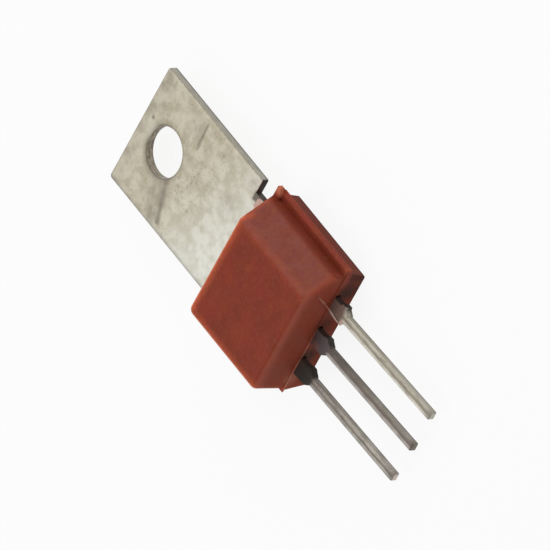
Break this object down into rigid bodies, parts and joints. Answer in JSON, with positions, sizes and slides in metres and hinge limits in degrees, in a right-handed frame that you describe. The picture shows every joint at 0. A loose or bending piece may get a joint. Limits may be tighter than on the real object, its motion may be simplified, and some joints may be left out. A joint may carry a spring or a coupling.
{
  "type": "triac",
  "caption": "Tab-mounted triac: a moulded body with a bevelled long edge, a flat tab with a mounting hole, and a row of straight leads.",
  "frame": {"origin": "middle of the flat back face of the moulded body, on the centre line of the leads", "axes": "+X across the leads towards the bevelled edge, +Y towards the tab, +Z out of the front of the body"},
  "size_m": [0.0103, 0.0317, 0.0043],
  "materials": {
    "moulding": "satin moulded, slightly mottled",
    "tinned_tab": "dull tinned copper, scuffed",
    "tinned_lead": "dull tinned copper, tarnished",
    "tinned_gate_lead": "tinned copper",
    "silicon": "polished",
    "solder": "dull solder",
    "clip_copper": "plain copper"
  },
  "bodies": {
    "root": {"moulded_body": "moulding", "heat_tab": "tinned_tab", "main_terminal_lead": "tinned_lead", "gate_lead": "tinned_gate_lead", "silicon_chip": "silicon", "chip_solder": "solder", "main_terminal_clip": "clip_copper", "gate_clip": "clip_copper", "main_clip_chip_solder": "solder", "main_clip_lead_solder": "solder", "gate_clip_chip_solder": "solder", "gate_clip_lead_solder": "solder"}
  },
  "joints": []
}
